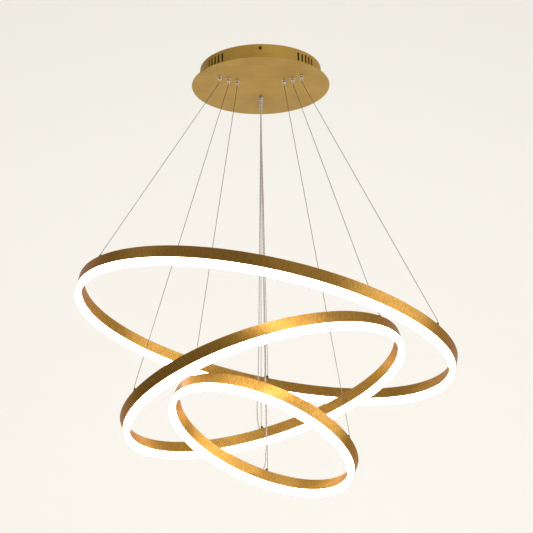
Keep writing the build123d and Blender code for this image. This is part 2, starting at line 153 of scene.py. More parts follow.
# Camera place, lens and turn that put the rings' and the canopy's outlines on the photograph's
camera_place, lens_mm = (0.0, -2.97024, -1.38654), 99.85
pitch, yaw, roll = (math.radians(angle) for angle in (17.475, 0.142, -0.778))
ahead = Vector((math.sin(yaw) * math.cos(pitch), math.cos(yaw) * math.cos(pitch), math.sin(pitch)))
level = Vector((math.cos(yaw), -math.sin(yaw), 0))
above = level.cross(ahead)
view_x = math.cos(roll) * level + math.sin(roll) * above
view_y = math.cos(roll) * above - math.sin(roll) * level
sight = bpy.data.cameras.new("photo_camera")
sight.sensor_width = 36.0
sight.lens = lens_mm
sight.clip_end = 60
camera = bpy.data.objects.new("photo_camera", sight)
facing = Matrix((view_x, view_y, -ahead)).transposed().to_4x4()
camera.matrix_world = Matrix.Translation(camera_place) @ facing
scene.collection.objects.link(camera)
scene.camera = camera

# ---- Suspension wires: nine stranded stainless ropes, 1.2 mm thick. Each passes down through its gripper, bends at
# the nose's mouth and runs taut to a terminal on its ring. The spare length goes back up as the ring is raised.
wire_finish, tree = empty_finish("stranded_stainless_rope")
# Strands 0.4 mm wide, drawn at a 3 mm pitch so that they show: fine grey flecks along the rope
seat = add(tree, "ShaderNodeTexCoord")
strands = add(
    tree,
    "ShaderNodeTexWave",
    {"Vector": seat.outputs["Object"], "Scale": 210.0, "Distortion": 0.8},
    bands_direction="DIAGONAL",
)
grey = add(
    tree,
    "ShaderNodeMix",
    {0: strands.outputs["Fac"], 6: linear("#625E58"), 7: linear("#8C8881")},
    data_type="RGBA",
)
lift = add(tree, "ShaderNodeBump", {"Height": strands.outputs["Fac"], "Strength": 0.3, "Distance": 0.0001})
steel = add(
    tree,
    "ShaderNodeBsdfPrincipled",
    {"Base Color": grey.outputs[2], "Metallic": 0.85, "Roughness": 0.4, "Normal": lift.outputs[0]},
)
add(tree, "ShaderNodeOutputMaterial", {"Surface": steel.outputs[0]})


def route_mesh(points, sides=0, width=0.0):
    """The smooth line of a route, or a round tube along it when sides are given, as a mesh."""
    curve = bpy.data.curves.new("route", "CURVE")
    curve.dimensions = "3D"
    spline = curve.splines.new("NURBS")
    spline.points.add(len(points) - 1)
    for index, point in enumerate(points):
        spline.points[index].co = (*point, 1.0)
    spline.order_u = 3
    spline.use_endpoint_u = True
    spline.resolution_u = 10
    if sides:
        curve.bevel_depth = width / 2
        curve.bevel_resolution = sides // 2 - 2
        curve.use_fill_caps = True
    line = bpy.data.objects.new("route", curve)
    scene.collection.objects.link(line)
    bpy.context.view_layer.update()
    made = bpy.data.meshes.new_from_object(line.evaluated_get(bpy.context.evaluated_depsgraph_get()))
    bpy.data.objects.remove(line)
    return made


def follow_route(name, points, sides, width, finish):
    """A round cord along a route. Gives the piece, the points of its line and its length."""
    line = route_mesh(points)
    path = [tuple(vertex.co) for vertex in line.vertices]
    tube = route_mesh(points, sides, width)
    tube.polygons.foreach_set("use_smooth", [True] * len(tube.polygons))
    tube.materials.append(finish)
    piece = bpy.data.objects.new(name, tube)
    scene.collection.objects.link(piece)
    return piece, path, sum((Vector(b) - Vector(a)).length for a, b in zip(path, path[1:]))


wire_diameter, wire_sides = 0.0012, 10
# Points of each wire's route, down through its gripper to where it leaves the nose and so hangs free, then on to
# its ring's terminal
rope_routes = {
    (1, "left"): (
        (-0.08820, -0.05511, -0.01800), (-0.08820, -0.05511, -0.04530),
        (-0.08820, -0.05511, -0.05250), (-0.09144, -0.05720, -0.05858),
        (-0.31512, -0.20124, -0.47826), (-0.31836, -0.20333, -0.48434), (-0.31891, -0.20347, -0.48678),
    ),
    (1, "right"): (
        (0.08820, -0.05511, -0.01800), (0.08820, -0.05511, -0.04530),
        (0.08820, -0.05511, -0.05250), (0.09097, -0.05678, -0.05893),
        (0.33500, -0.20395, -0.62566), (0.33777, -0.20562, -0.63209), (0.33722, -0.20575, -0.63452),
    ),
    (1, "rear"): (
        (0.00000, 0.10400, -0.01800), (0.00000, 0.10400, -0.04530),
        (0.00000, 0.10400, -0.05250), (0.00009, 0.10741, -0.05884),
        (0.00780, 0.39047, -0.58545), (0.00789, 0.39388, -0.59179), (0.00734, 0.39375, -0.59422),
    ),
    (2, "left"): (
        (-0.06954, -0.04345, -0.01800), (-0.06954, -0.04345, -0.04530),
        (-0.06954, -0.04345, -0.05250), (-0.07138, -0.04453, -0.05938),
        (-0.25221, -0.15102, -0.73522), (-0.25405, -0.15210, -0.74210), (-0.25334, -0.15244, -0.74447),
    ),
    (2, "right"): (
        (0.06954, -0.04345, -0.01800), (0.06954, -0.04345, -0.04530),
        (0.06954, -0.04345, -0.05250), (0.07152, -0.04474, -0.05930),
        (0.22640, -0.14550, -0.59222), (0.22838, -0.14679, -0.59902), (0.22908, -0.14713, -0.60140),
    ),
    (2, "rear"): (
        (0.00000, 0.08200, -0.01800), (0.00000, 0.08200, -0.04530),
        (0.00000, 0.08200, -0.05250), (-0.00009, 0.08413, -0.05938),
        (-0.00850, 0.29027, -0.72452), (-0.00859, 0.29240, -0.73140), (-0.00788, 0.29207, -0.73377),
    ),
    (3, "left"): (
        (-0.05088, -0.03180, -0.01800), (-0.05088, -0.03180, -0.04530),
        (-0.05088, -0.03180, -0.05250), (-0.05188, -0.03243, -0.05960),
        (-0.14160, -0.08883, -0.69735), (-0.14260, -0.08946, -0.70445), (-0.14353, -0.09009, -0.70668),
    ),
    (3, "right"): (
        (0.05088, -0.03180, -0.01800), (0.05088, -0.03180, -0.04530),
        (0.05088, -0.03180, -0.05250), (0.05193, -0.03241, -0.05960),
        (0.16469, -0.09777, -0.82252), (0.16574, -0.09838, -0.82962), (0.16481, -0.09902, -0.83185),
    ),
    (3, "rear"): (
        (0.00000, 0.06000, -0.01800), (0.00000, 0.06000, -0.04530),
        (0.00000, 0.06000, -0.05250), (0.00004, 0.06116, -0.05961),
        (0.00437, 0.18784, -0.83754), (0.00441, 0.18900, -0.84465), (0.00349, 0.18836, -0.84689),
    ),
}
for (ring, side), points in rope_routes.items():
    wire, path, length = follow_route(f"rope_{ring}_{side}", points, wire_sides, wire_diameter, wire_finish)
    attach(wire, "canopy")
    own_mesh(wire)
    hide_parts(f"wire_{ring}_{side}")

# ---- Power cords: one clear PVC cord to each ring, 2.4 mm thick, whose tinned cores show through the sheath. Each
# leaves the driver, drops through its gland and hangs with a little slack to the ring's inlet bush.
cord_finish, tree = empty_finish("clear_pvc_over_tinned_cores")
# Two cores twisted at a 9 mm pitch: soft darker and lighter turns under a smooth, glossy sheath
seat = add(tree, "ShaderNodeTexCoord")
cores = add(
    tree,
    "ShaderNodeTexWave",
    {"Vector": seat.outputs["Object"], "Scale": 35.0, "Distortion": 0.6},
    bands_direction="Z",
)
tint = add(
    tree,
    "ShaderNodeMix",
    {0: cores.outputs["Fac"], 6: linear("#AFA59B"), 7: linear("#C3B9AF")},
    data_type="RGBA",
)
sheath = add(
    tree,
    "ShaderNodeBsdfPrincipled",
    {"Base Color": tint.outputs[2], "Roughness": 0.25, "IOR": 1.53, "Coat Weight": 0.5, "Coat Roughness": 0.1},
)
add(tree, "ShaderNodeOutputMaterial", {"Surface": sheath.outputs[0]})

cord_diameter, cord_sides = 0.0024, 12
# Points of each cord's route, from the driver down through its gland, where it leaves it, to its ring's inlet
cord_routes = {
    1: (
        (-0.018, -0.012, -0.014), (-0.018, 0.0204, -0.014), (0.0, 0.093, -0.014), (0.0, 0.093, -0.037),
        (0.0, 0.093, -0.0515), (0.0001, 0.1002, -0.0642), (0.0023, 0.387, -0.5731),
        (0.0024, 0.3942, -0.5859), (-0.0010, 0.3933, -0.6009),
    ),
    2: (
        (0.018, -0.012, -0.014), (0.018, 0.0204, -0.014), (0.0, 0.071, -0.014), (0.0, 0.071, -0.037),
        (0.0, 0.071, -0.0515), (-0.0003, 0.0753, -0.065), (-0.0126, 0.252, -0.614),
        (-0.0178, 0.2785, -0.694), (-0.0163, 0.2927, -0.729), (-0.0119, 0.2906, -0.7436),
    ),
    3: (
        (0.0, -0.012, -0.014), (0.0, 0.049, -0.014), (0.0, 0.049, -0.037), (0.0, 0.049, -0.0515),
        (-0.0001, 0.0514, -0.0657), (0.0015, 0.146, -0.662), (0.003, 0.166, -0.780),
        (0.0005, 0.183, -0.814), (0.0005, 0.1912, -0.8364), (-0.006, 0.1867, -0.8519),
    ),
}
for ring, points in cord_routes.items():
    cord, path, length = follow_route(f"power_cord_{ring}", points, cord_sides, cord_diameter, cord_finish)
    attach(cord, "canopy")
    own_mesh(cord)
    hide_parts(f"cord_{ring}")

# ---- Ceiling bracket: a 15-cornered plate pressed from 1.5 mm zinc-plated steel, with three tabs folded down for
# the side screws. It is screwed to the ceiling, and carries the driver, the terminal block and the earth screw.


def grained_finish(name, dark, light, grain, metallic, rough, lift, **shader):
    """A finish with a fine random grain, as on moulded, plated or sprayed surfaces. Grain in metres."""
    material, tree = empty_finish(name)
    seat = add(tree, "ShaderNodeTexCoord")
    spots = add(tree, "ShaderNodeTexNoise", {"Vector": seat.outputs["Object"], "Scale": 1 / grain, "Detail": 3.0})
    tint = add(
        tree,
        "ShaderNodeMix",
        {0: spots.outputs["Fac"], 6: linear(dark), 7: linear(light)},
        data_type="RGBA",
    )
    gloss = add(tree, "ShaderNodeMapRange", {0: spots.outputs["Fac"], 3: rough[0], 4: rough[1]})
    bump = add(tree, "ShaderNodeBump", {"Height": spots.outputs["Fac"], "Strength": lift, "Distance": 0.0002})
    surface = add(
        tree,
        "ShaderNodeBsdfPrincipled",
        {
            "Base Color": tint.outputs[2],
            "Metallic": metallic,
            "Roughness": gloss.outputs[0],
            "Normal": bump.outputs[0],
            **shader,
        },
    )
    add(tree, "ShaderNodeOutputMaterial", {"Surface": surface.outputs[0]})
    return material


# Zinc plate: dull blue-grey metal with spangle 4 mm across, brighter and duller from grain to grain
zinc_finish = grained_finish("zinc_plated_steel", "#8E9398", "#C3C8CC", 0.004, 1.0, (0.28, 0.5), 0.15)
nodes["ceiling_bracket"].data.materials.clear()
nodes["ceiling_bracket"].data.materials.append(zinc_finish)

# ---- Driver, terminal block and supply lead: a closed white ABS case with two screw ears, a three-pole nylon
# block for the house cable, and the short two-core lead between them, all held under the bracket by screws.
abs_finish = grained_finish("moulded_white_abs", "#D9D8D2", "#EDECE7", 0.0012, 0.0, (0.45, 0.6), 0.25, IOR=1.53)
nylon_finish = grained_finish("moulded_ivory_nylon", "#D2CEC2", "#E6E2D6", 0.0015, 0.0, (0.4, 0.55), 0.2, IOR=1.53)
for name, finish in (
    ("led_driver", abs_finish),
    ("terminal_block", nylon_finish),
    ("driver_screws", zinc_finish),
    ("terminal_screw", zinc_finish),
    ("earth_screw", zinc_finish),
    ("plate_nuts", zinc_finish),
    ("gripper_nuts", zinc_finish),
):
    nodes[name].data.materials.clear()
    nodes[name].data.materials.append(finish)

pvc_finish = grained_finish("white_pvc_sheath", "#DEDDD8", "#F0EFEA", 0.002, 0.0, (0.35, 0.5), 0.1, IOR=1.53)
lead_diameter, lead_sides = 0.0032, 12
lead_points = (
    (-0.060, -0.025, -0.010), (-0.050, -0.025, -0.0105), (-0.040, -0.025, -0.0105), (-0.030, -0.025, -0.010),
)
lead, path, length = follow_route("supply_lead_sheath", lead_points, lead_sides, lead_diameter, pvc_finish)
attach(lead, "canopy")
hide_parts("supply_lead")

# ---- Canopy drum: a spun and bent sheet-metal wall 1.2 mm thick with four groups of five punched vents and three
# inward feet that stand on the plate. Brushed, then lacquered in satin gold, as the plate is.


def rounded(corners, steps=4, guard=0.00015):
    """The outline through corners given as x, y and rounding radius, with guard points that keep flats flat."""
    line = []
    for index, (x, y, radius) in enumerate(corners):
        here = Vector((x, y))
        if not radius:
            line.append(here)
            continue
        back = (Vector(corners[index - 1][:2]) - here).normalized()
        on = (Vector(corners[(index + 1) % len(corners)][:2]) - here).normalized()
        half = back.angle(on) / 2
        reach = radius / math.tan(half)
        middle = here + (back + on).normalized() * radius / math.sin(half)
        first, last = here + back * reach - middle, here + on * reach - middle
        line.append(here + back * (reach + guard))
        for step in range(steps + 1):
            line.append(middle + (first.lerp(last, step / steps)).normalized() * radius)
        line.append(here + on * (reach + guard))
    return line


def geometry_tree(name, sockets):
    """A geometry tree with named inputs. Gives the tree and its input node."""
    tree = bpy.data.node_groups.new(name, "GeometryNodeTree")
    tree.interface.new_socket("Geometry", in_out="INPUT", socket_type="NodeSocketGeometry")
    for label, kind in sockets:
        tree.interface.new_socket(label, in_out="INPUT", socket_type=kind)
    tree.interface.new_socket("Geometry", in_out="OUTPUT", socket_type="NodeSocketGeometry")
    return tree, add(tree, "NodeGroupInput")


def close_tree(tree, geometry, given):
    """Ends a tree in Realize Instances and Set Material."""
    real = add(tree, "GeometryNodeRealizeInstances", {"Geometry": geometry})
    coated = add(
        tree, "GeometryNodeSetMaterial", {"Geometry": real.outputs[0], "Material": given.outputs["Finish"]}
    )
    add(tree, "NodeGroupOutput", {"Geometry": coated.outputs[0]})


def run_tree(tree, piece, values, soft_angle=35):
    """Runs a tree on a piece and keeps the result as its plain mesh, outward and smooth up to an angle."""
    modifier = piece.modifiers.new(tree.name, "NODES")
    modifier.node_group = tree
    for item in tree.interface.items_tree:
        if item.in_out == "INPUT" and item.name in values:
            modifier[item.identifier] = values[item.name]
    piece.data.update()
    bpy.context.view_layer.update()
    made = bpy.data.meshes.new_from_object(piece.evaluated_get(bpy.context.evaluated_depsgraph_get()))
    piece.modifiers.remove(modifier)
    piece.data = made
    work = bmesh.new()
    work.from_mesh(made)
    bmesh.ops.remove_doubles(work, verts=work.verts, dist=1e-6)
    bmesh.ops.dissolve_degenerate(work, edges=work.edges, dist=1e-7)
    bmesh.ops.recalc_face_normals(work, faces=work.faces)
    work.to_mesh(made)
    work.free()
    made.polygons.foreach_set("use_smooth", [True] * len(made.polygons))
    made.set_sharp_from_angle(angle=math.radians(soft_angle))
    return piece


# Tree that spins a section, drawn as radius and height, round its own axis
spin_tree, given = geometry_tree(
    "spun_section", (("Points", "NodeSocketInt"), ("Steps", "NodeSocketInt"), ("Finish", "NodeSocketMaterial"))
)
rows = add(spin_tree, "ShaderNodeMath", {0: given.outputs["Steps"], 1: 1.0}, operation="ADD")
columns = add(spin_tree, "ShaderNodeMath", {0: given.outputs["Points"], 1: 1.0}, operation="ADD")
sheet = add(
    spin_tree, "GeometryNodeMeshGrid", {"Vertices X": rows.outputs[0], "Vertices Y": columns.outputs[0]}
)
order = add(spin_tree, "GeometryNodeInputIndex")
share = add(spin_tree, "ShaderNodeMath", {0: order.outputs[0], 1: columns.outputs[0]}, operation="DIVIDE")
row = add(spin_tree, "ShaderNodeMath", {0: share.outputs[0]}, operation="FLOOR")
column = add(spin_tree, "ShaderNodeMath", {0: order.outputs[0], 1: columns.outputs[0]}, operation="MODULO")
along = add(spin_tree, "ShaderNodeMath", {0: column.outputs[0], 1: given.outputs["Points"]}, operation="MODULO")
drawn = add(spin_tree, "GeometryNodeInputPosition")
section_point = add(
    spin_tree,
    "GeometryNodeSampleIndex",
    {"Geometry": given.outputs["Geometry"], "Value": drawn.outputs[0], "Index": along.outputs[0]},
    data_type="FLOAT_VECTOR",
)
turn_step = add(spin_tree, "ShaderNodeMath", {0: 2 * math.pi, 1: given.outputs["Steps"]}, operation="DIVIDE")
turned_by = add(spin_tree, "ShaderNodeMath", {0: row.outputs[0], 1: turn_step.outputs[0]}, operation="MULTIPLY")
swung = add(
    spin_tree,
    "ShaderNodeVectorRotate",
    {"Vector": section_point.outputs[0], "Angle": turned_by.outputs[0]},
    rotation_type="Z_AXIS",
)
placed = add(
    spin_tree, "GeometryNodeSetPosition", {"Geometry": sheet.outputs[0], "Position": swung.outputs[0]}
)
joined = add(spin_tree, "GeometryNodeMergeByDistance", {"Geometry": placed.outputs[0], "Distance": 1e-6})
close_tree(spin_tree, joined.outputs[0], given)

# Tree that sets one small part out at marked places, each turned as its mark says
place_tree, given = geometry_tree(
    "set_out_parts", (("Part", "NodeSocketObject"), ("Finish", "NodeSocketMaterial"))
)
pattern = add(place_tree, "GeometryNodeObjectInfo", {"Object": given.outputs["Part"]})
turn_mark = add(place_tree, "GeometryNodeInputNamedAttribute", {"Name": "turn"}, data_type="FLOAT_VECTOR")
dealt = add(
    place_tree,
    "GeometryNodeInstanceOnPoints",
    {
        "Points": given.outputs["Geometry"],
        "Instance": pattern.outputs["Geometry"],
        "Rotation": turn_mark.outputs["Attribute"],
    },
)
close_tree(place_tree, dealt.outputs[0], given)

# Tree that punches one set of shapes out of a part
punch_tree, given = geometry_tree(
    "punched_part", (("Punches", "NodeSocketObject"), ("Finish", "NodeSocketMaterial"))
)
tools = add(punch_tree, "GeometryNodeObjectInfo", {"Object": given.outputs["Punches"]})
cut = add(punch_tree, "GeometryNodeMeshBoolean", operation="DIFFERENCE", solver="EXACT")
punch_tree.links.new(given.outputs["Geometry"], cut.inputs["Mesh 1"])
punch_tree.links.new(tools.outputs["Geometry"], cut.inputs["Mesh 2"])
close_tree(punch_tree, cut.outputs[0], given)


def spun(name, section, steps, finish):
    """A part of revolution from its section in metres, radius across and height up."""
    mesh = bpy.data.meshes.new(name)
    mesh.from_pydata([(x, 0, z) for x, z in section], [], [])
    piece = bpy.data.objects.new(name, mesh)
    scene.collection.objects.link(piece)
    return run_tree(spin_tree, piece, {"Points": len(section), "Steps": steps, "Finish": finish})


def prism(name, outline, low, high):
    """A straight part over an outline in its own plane."""
    count = len(outline)
    mesh = bpy.data.meshes.new(name)
    mesh.from_pydata(
        [(x, y, level) for level in (low, high) for x, y in outline],
        [],
        [tuple(range(count))[::-1], tuple(range(count, 2 * count))]
        + [(i, (i + 1) % count, count + (i + 1) % count, count + i) for i in range(count)],
    )
    piece = bpy.data.objects.new(name, mesh)
    scene.collection.objects.link(piece)
    return piece


def set_out(name, part, places, finish, keep_part=False):
    """Copies of a small part at places given as 4x4 frames, made one plain mesh."""
    mesh = bpy.data.meshes.new(name)
    mesh.from_pydata([place.to_translation() for place in places], [], [])
    turns = mesh.attributes.new("turn", "FLOAT_VECTOR", "POINT")
    for index, place in enumerate(places):
        turns.data[index].vector = place.to_euler()
    piece = bpy.data.objects.new(name, mesh)
    scene.collection.objects.link(piece)
    run_tree(place_tree, piece, {"Part": part, "Finish": finish})
    if not keep_part:
        bpy.data.objects.remove(part)
    return piece


def about_axis(radius, angle, height):
    """A frame on a circle about the lamp's axis, its x pointing outwards."""
    return Matrix.Rotation(math.radians(angle), 4, "Z") @ Matrix.Translation((radius, 0, height))


def join(pieces):
    """One piece from several, under the first one's name."""
    with bpy.context.temp_override(active_object=pieces[0], selected_editable_objects=pieces):
        bpy.ops.object.join()
    return pieces[0]


# Satin gold lacquer over brushed steel: a quiet olive gold with little shine, faintly streaked across the
# canopy by the brush, 0.3 mm strokes drawn 1.5 mm wide
canopy_finish, tree = empty_finish("satin_gold_lacquer_on_brushed_steel")
seat = add(tree, "ShaderNodeTexCoord")
drawn_out = add(tree, "ShaderNodeMapping", {"Vector": seat.outputs["Object"], "Scale": (22.0, 650.0, 650.0)})
strokes = add(tree, "ShaderNodeTexNoise", {"Vector": drawn_out.outputs[0], "Scale": 1.0, "Detail": 3.0})
clouds = add(tree, "ShaderNodeTexNoise", {"Vector": seat.outputs["Object"], "Scale": 14.0, "Detail": 2.0})
blend = add(tree, "ShaderNodeMath", {0: clouds.outputs["Fac"], 1: strokes.outputs["Fac"]}, operation="ADD")
tone = add(tree, "ShaderNodeMapRange", {0: blend.outputs[0], 1: 0.6, 2: 1.4})
gold = add(
    tree,
    "ShaderNodeMix",
    {0: tone.outputs[0], 6: linear("#AC862F"), 7: linear("#C69F47")},
    data_type="RGBA",
)
gloss = add(tree, "ShaderNodeMapRange", {0: strokes.outputs["Fac"], 3: 0.42, 4: 0.58})
lift = add(tree, "ShaderNodeBump", {"Height": strokes.outputs["Fac"], "Strength": 0.12, "Distance": 0.0002})
lacquer = add(
    tree,
    "ShaderNodeBsdfPrincipled",
    {
        "Base Color": gold.outputs[2],
        "Metallic": 0.35,
        "Roughness": gloss.outputs[0],
        "Normal": lift.outputs[0],
    },
)
add(tree, "ShaderNodeOutputMaterial", {"Surface": lacquer.outputs[0]})

drum_radius, drum_bore, plate_top = 0.1325, 0.1313, -0.037
foot_half_length, foot_half_width, foot_thickness, foot_corner = 0.008, 0.007, 0.0012, 0.002
foot_circle, foot_angles = 0.1239, (60, 180, 300)
vent_half_height, vent_half_width, vent_corner, vent_z = 0.00975, 0.0024, 0.0014, -0.01725
vent_group_angles, vent_pitch_angle = (223, 317, 43, 137), 4.65
stud_circle, stud_bore_radius, bore_reach = 0.1233, 0.0021, 0.006
side_screw_angles, side_screw_z = (270, 30, 150), -0.0093
# Turn that points a part's own axis out through the drum's wall
outward = Matrix.Rotation(math.radians(90), 4, "Y")
wall = spun(
    "canopy_drum_wall",
    rounded(
        [
            (drum_bore, 0.0, 0.0),
            (drum_bore, plate_top, 0.0),
            (drum_radius, plate_top, 0.0005),
            (drum_radius, 0.0, 0.0005),
        ]
    ),
    240,
    canopy_finish,
)
foot = prism(
    "foot",
    rounded(
        [
            (-foot_half_length, -foot_half_width, foot_corner),
            (foot_half_length, -foot_half_width, 0.0),
            (foot_half_length, foot_half_width, 0.0),
            (-foot_half_length, foot_half_width, foot_corner),
        ]
    ),
    0.0,
    foot_thickness,
)
foot_places = [about_axis(foot_circle, angle, plate_top) for angle in foot_angles]
feet = set_out("canopy_feet", foot, foot_places, canopy_finish)
slot = prism(
    "slot",
    rounded(
        [
            (side * vent_half_height, edge * vent_half_width, vent_corner)
            for side, edge in ((-1, -1), (1, -1), (1, 1), (-1, 1))
        ]
    ),
    -0.004,
    0.004,
)
vent_places = [
    about_axis(drum_radius, middle + vent_pitch_angle * step, vent_z) @ outward
    for middle in vent_group_angles
    for step in (-2, -1, 0, 1, 2)
]
slots = set_out("slots", slot, vent_places, canopy_finish)
bore = spun(
    "bore",
    [(0, -bore_reach), (stud_bore_radius, -bore_reach), (stud_bore_radius, bore_reach), (0, bore_reach)],
    24,
    canopy_finish,
)
stud_places = [about_axis(stud_circle, angle, plate_top) for angle in foot_angles]
side_screw_places = [about_axis(drum_radius, angle, side_screw_z) @ outward for angle in side_screw_angles]
bores = set_out("bores", bore, stud_places + side_screw_places, canopy_finish)
punches = join([slots, bores])
drum = join([wall, feet])
run_tree(punch_tree, drum, {"Punches": punches, "Finish": canopy_finish})
bpy.data.objects.remove(punches)
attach(drum, "canopy")
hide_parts("canopy_drum")

# ---- Canopy plate: a 2 mm disc with a rolled edge, the drum's lower cover. Its three weld studs go through the
# drum's feet and take the nuts; the grippers and the glands go through its holes.
plate_bottom, plate_radius, plate_edge = -0.039, 0.1505, 0.0008
stud_radius, stud_height, hole_radius, hole_reach = 0.002, 0.006, 0.0031, 0.006
gland_inset = 0.011
gripper_circle = {1: 0.104, 2: 0.082, 3: 0.060}
wire_angle = {"left": 212, "right": 328, "rear": 90}
gripper_frames = {
    (ring, side): about_axis(radius, angle, plate_bottom)
    for ring, radius in gripper_circle.items()
    for side, angle in wire_angle.items()
}
gland_frames = [
    about_axis(radius - gland_inset, wire_angle["rear"], plate_bottom) for radius in gripper_circle.values()
]
disc = spun(
    "canopy_disc",
    rounded(
        [
            (0.0, plate_bottom, 0.0),
            (plate_radius, plate_bottom, plate_edge),
            (plate_radius, plate_top, plate_edge),
            (0.0, plate_top, 0.0),
        ]
    ),
    256,
    canopy_finish,
)
stud = spun(
    "stud",
    rounded([(0, -0.0005, 0), (stud_radius, -0.0005, 0), (stud_radius, stud_height, 0.0004), (0, stud_height, 0)]),
    20,
    zinc_finish,
)
studs = set_out("weld_studs", stud, stud_places, zinc_finish)
bore = spun(
    "bore",
    [(0, -0.002), (hole_radius, -0.002), (hole_radius, hole_reach), (0, hole_reach)],
    24,
    canopy_finish,
)
punches = set_out("bores", bore, [*gripper_frames.values(), *gland_frames], canopy_finish)
run_tree(punch_tree, disc, {"Punches": punches, "Finish": canopy_finish})
bpy.data.objects.remove(punches)
plate = join([disc, studs])
plate.name = "canopy_plate_disc"
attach(plate, "canopy")
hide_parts("canopy_plate")

# ---- Side screws: three pan-head screws in bronze lacquer, with a cross recess, near the drum's top edge.
# They go through the drum's wall into the bracket's folded tabs and hold the canopy up.
bronze_finish = grained_finish("bronze_lacquered_steel", "#4A3518", "#6E5228", 0.0006, 0.9, (0.3, 0.45), 0.1)


def cross_headed(name, head, height, shank, reach, finish):
    """A pan-head screw with a cross recess: head above its seat, shank below."""
    screw = spun(
        name,
        rounded(
            [
                (0.0, -reach, 0.0),
                (shank, -reach, shank * 0.4),
                (shank, 0.0, 0.0),
                (head, 0.0, 0.0),
                (head, height, height * 0.55),
                (0.0, height, 0.0),
            ],
            guard=0.00005,
        ),
        32,
        finish,
    )
    arm, thick = head * 0.55, head * 0.13
    cross = prism(
        "cross",
        [
            (thick, thick), (thick, arm), (-thick, arm), (-thick, thick), (-arm, thick), (-arm, -thick),
            (-thick, -thick), (-thick, -arm), (thick, -arm), (thick, -thick), (arm, -thick), (arm, thick),
        ],
        height * 0.35,
        height * 1.5,
    )
    run_tree(punch_tree, screw, {"Punches": cross, "Finish": finish})
    bpy.data.objects.remove(cross)
    return screw


side_screw = cross_headed(
    "side_screw", head=0.0034, height=0.0022, shank=0.002, reach=0.0083, finish=bronze_finish
)
side_screws = set_out("drum_side_screws", side_screw, side_screw_places, bronze_finish)
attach(side_screws, "canopy")
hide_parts("canopy_side_screws")

# ---- Gripper bodies: nine turned brass barrels with a flange and a threaded stud, nickel and chrome plated. The
# stud goes up through the plate and takes a nut; the barrel holds the wire's locking nose.
# Polished chrome: a near mirror, so it shows as hard bright and dark spots
chrome_finish = grained_finish("polished_chrome_plate", "#DCDCDE", "#F4F4F5", 0.003, 1.0, (0.03, 0.08), 0.02)
barrel = spun(
    "barrel",
    rounded(
        [
            (0.0008, 0.0140, 0.0), (0.0030, 0.0140, 0.0005), (0.0030, 0.0, 0.0), (0.0050, 0.0, 0.0),
            (0.0050, -0.0015, 0.0005), (0.0040, -0.0015, 0.0), (0.0040, -0.0065, 0.0008), (0.00226, -0.0065, 0.0),
            (0.00226, -0.0055, 0.0), (0.00296, -0.0055, 0.0), (0.00296, -0.0010, 0.0), (0.0008, -0.0010, 0.0),
        ],
        guard=0.00008,
    ),
    36,
    chrome_finish,
)
barrels = set_out("gripper_barrels", barrel, list(gripper_frames.values()), chrome_finish)
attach(barrels, "canopy")
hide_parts("gripper_bodies")

# ---- Gripper noses: the narrow sprung sleeve in each barrel. Pushed in, it frees the balls inside, and the wire
# can be fed up. Turned brass with a flared mouth, chrome plated.
nose = spun(
    "nose",
    rounded(
        [
            (0.0008, -0.0039, 0.0), (0.0029, -0.0039, 0.0003), (0.0029, -0.0054, 0.0), (0.0022, -0.0054, 0.0),
            (0.0022, -0.0088, 0.0002), (0.0018, -0.0092, 0.0002), (0.0018, -0.0097, 0.0002),
            (0.0022, -0.0100, 0.0002), (0.0022, -0.0110, 0.0005), (0.0012, -0.0110, 0.0003), (0.0008, -0.0102, 0.0),
        ],
        guard=0.00004,
    ),
    32,
    chrome_finish,
)
for (ring, side), place in gripper_frames.items():
    sleeve = set_out(f"nose_sleeve_{ring}_{side}", nose, [place], chrome_finish, keep_part=True)
    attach(sleeve, f"nose_{ring}_{side}")
    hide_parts(f"gripper_nose_{ring}_{side}")
bpy.data.objects.remove(nose)

# ---- Cord glands: three smoke-grey nylon bushes, one in front of each rear gripper, snapped into the plate from
# below. They keep the cords off the plate's edges.
gland_finish = grained_finish("smoke_grey_nylon", "#66625C", "#A39F97", 0.002, 0.0, (0.18, 0.3), 0.05, IOR=1.53)
bush = spun(
    "bush",
    rounded(
        [
            (0.0014, 0.0060, 0.0), (0.0029, 0.0060, 0.0005), (0.0029, 0.0, 0.0), (0.0040, 0.0, 0.0),
            (0.0040, -0.0015, 0.0006), (0.0026, -0.0015, 0.0), (0.0024, -0.0045, 0.0005), (0.0014, -0.0045, 0.0),
        ],
        guard=0.00005,
    ),
    36,
    gland_finish,
)
glands = set_out("gland_bushes", bush, gland_frames, gland_finish)
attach(glands, "canopy")
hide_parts("cord_glands")

# ---- Ring channels: three hoops of extruded aluminium channel, 12 mm wide and 23.4 mm high with 1 mm walls, open
# downwards. Bent, butt-joined, brushed across by hand and anodised gold.
ring_radius = {1: 0.400, 2: 0.300, 3: 0.200}
ring_width, channel_height, channel_wall, web_depth, ring_steps = 0.012, 0.0234, 0.001, 0.0016, 320
ring_frames = {}
# Each ring's middle, and its rise to the right and to the rear in degrees, as fitted to the photograph
for ring, middle, side_tilt, rear_tilt in (
    (1, (0.0058, 0.0, -0.5787), -12.7, -3.25),
    (2, (-0.0059, 0.0, -0.6995), 16.6, -8.0),
    (3, (0.0009, 0.0, -0.8000), -22.5, -15.9),
):
    side_rise, rear_rise = math.tan(math.radians(side_tilt)), math.tan(math.radians(rear_tilt))
    across = Vector((1, 0, side_rise)).normalized()
    upward = Vector((-side_rise, -rear_rise, 1)).normalized()
    turned = Matrix((across, upward.cross(across), upward)).transposed().to_4x4()
    ring_frames[ring] = Matrix.Translation(middle) @ turned


